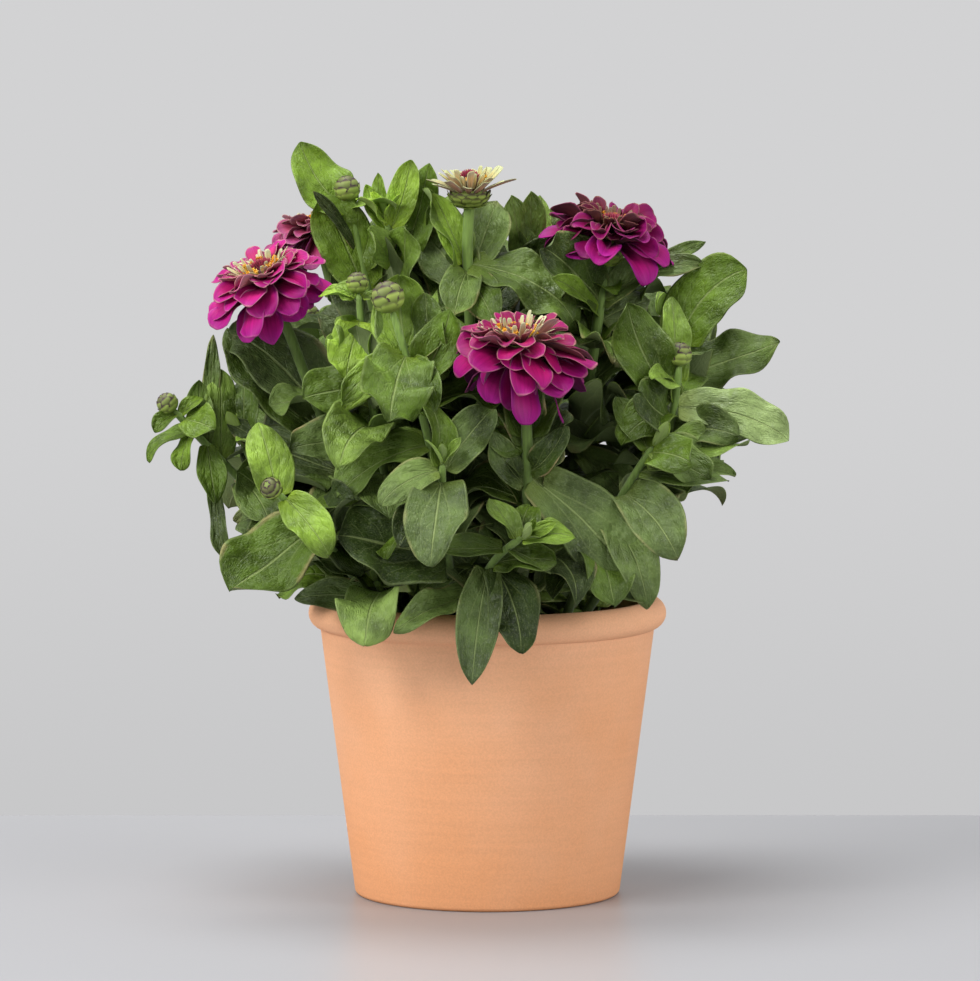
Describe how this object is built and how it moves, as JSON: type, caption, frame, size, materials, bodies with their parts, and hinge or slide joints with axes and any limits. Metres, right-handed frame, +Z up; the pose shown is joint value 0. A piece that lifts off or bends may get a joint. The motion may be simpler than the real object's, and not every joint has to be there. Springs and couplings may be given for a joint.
{
  "type": "potted zinnia plant",
  "caption": "Leafy zinnia with double magenta blooms, buds and opposite leaves, growing in a plain round terracotta pot with a rolled rim.",
  "frame": {"origin": "On the surface that the pot stands on, under the middle of its foot.", "axes": "+Z up along the pot's axis, -Y towards the viewer's side of the plant, +X to that viewer's right."},
  "size_m": [0.2785, 0.2685, 0.3187],
  "materials": {
    "terracotta": "matte",
    "compost": "matte",
    "foliage": "satin",
    "petals": "matte",
    "young_petals": "matte",
    "disc": "matte"
  },
  "bodies": {
    "root": {"pot": "terracotta", "soil": "compost", "stem_front": "foliage", "bloom_front_petals": "petals", "bloom_front_disc": "disc", "stem_left": "foliage", "bloom_left_petals": "petals", "bloom_left_disc": "disc", "stem_left_back": "foliage", "bloom_left_back_petals": "petals", "bloom_left_back_disc": "disc", "stem_young": "foliage", "bloom_young_petals": "young_petals", "bloom_young_disc": "disc", "stem_right": "foliage", "bloom_right_petals": "petals", "bloom_right_disc": "disc", "shoot_top_right": "foliage", "shoot_top_left": "foliage", "shoot_top_middle": "foliage", "shoot_middle": "foliage", "shoot_middle_left": "foliage", "shoot_right": "foliage", "shoot_far_right": "foliage", "shoot_right_low": "foliage", "shoot_far_left": "foliage", "shoot_left": "foliage", "shoot_left_low": "foliage", "shoot_front_middle": "foliage", "shoot_low": "foliage", "shoot_rim_left": "foliage", "shoot_back_left": "foliage", "shoot_back": "foliage", "shoot_back_right": "foliage", "shoot_low_left_back": "foliage", "shoot_low_back": "foliage", "shoot_low_right_back": "foliage"}
  },
  "joints": []
}
